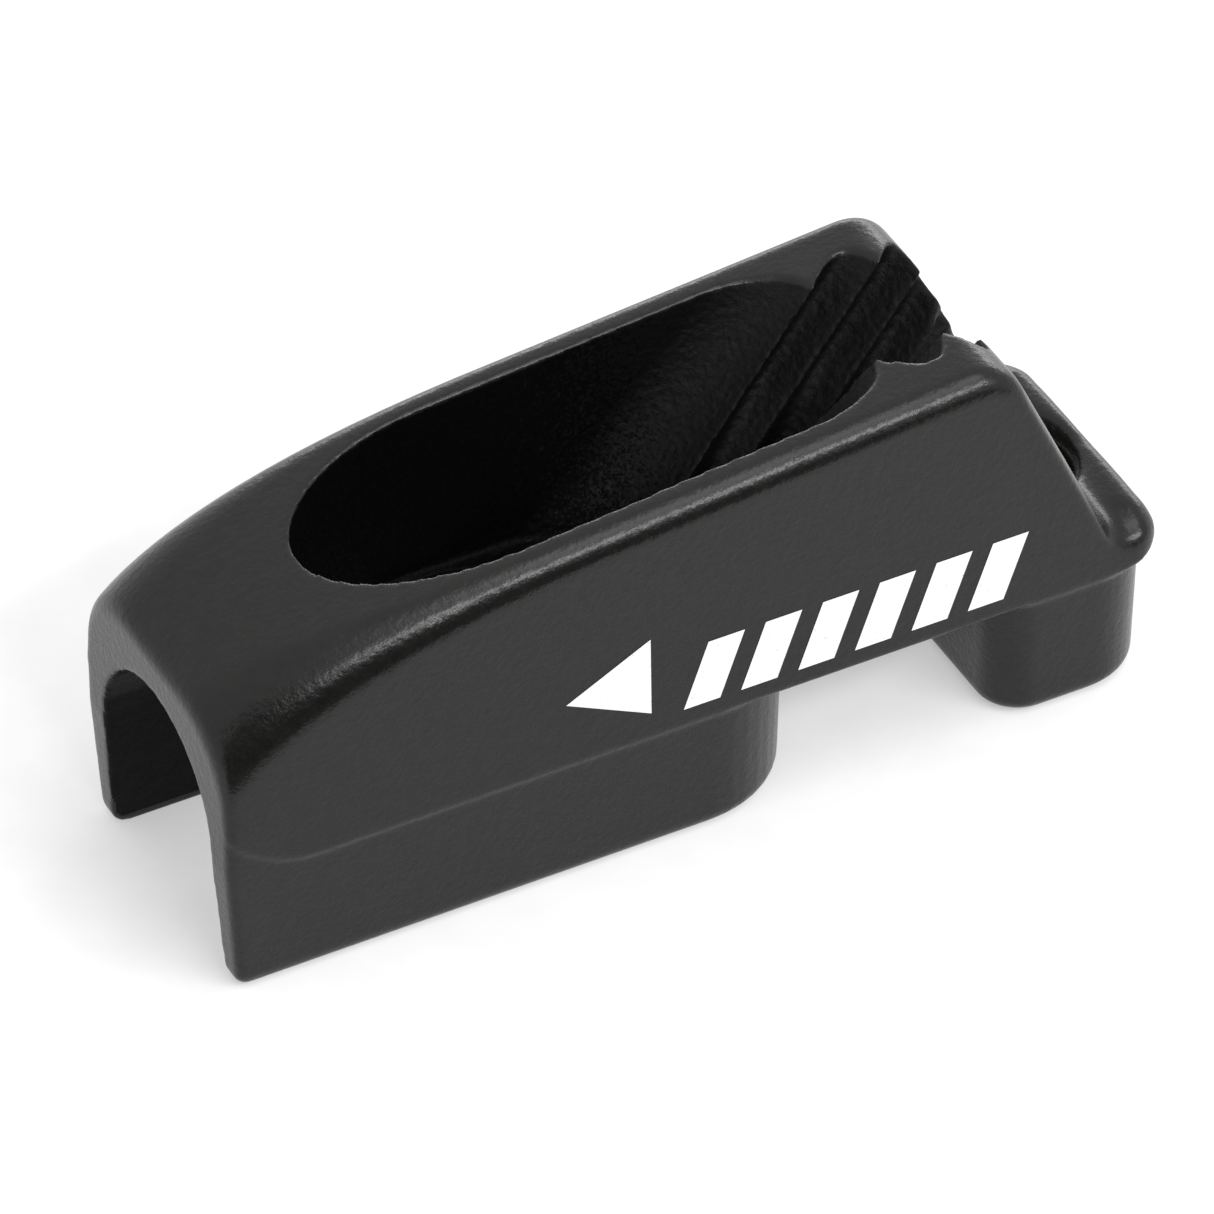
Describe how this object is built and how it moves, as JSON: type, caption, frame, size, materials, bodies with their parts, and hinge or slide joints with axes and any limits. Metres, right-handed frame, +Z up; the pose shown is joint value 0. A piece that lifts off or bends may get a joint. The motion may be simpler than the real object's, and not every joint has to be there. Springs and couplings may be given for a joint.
{
  "type": "jam cleat",
  "caption": "One-piece jam cleat for rope: arched lead-in tunnel, open pocket and ribbed V-shaped jaws on two feet, held down by countersunk screws.",
  "frame": {"origin": "middle of the length and width, on the plane of the soles of the two feet", "axes": "+X from the arched front, where the rope enters, to the rear lip; +Z up from the deck; Y = 0 is the plane of symmetry"},
  "size_m": [0.0672, 0.0206, 0.0289],
  "materials": {
    "black_cast_coating": "satin black over a fine cast texture",
    "stainless_steel": "plain turned"
  },
  "bodies": {
    "root": {"cleat_body": "black_cast_coating", "front_screw": "stainless_steel", "rear_screw": "stainless_steel"}
  },
  "joints": []
}
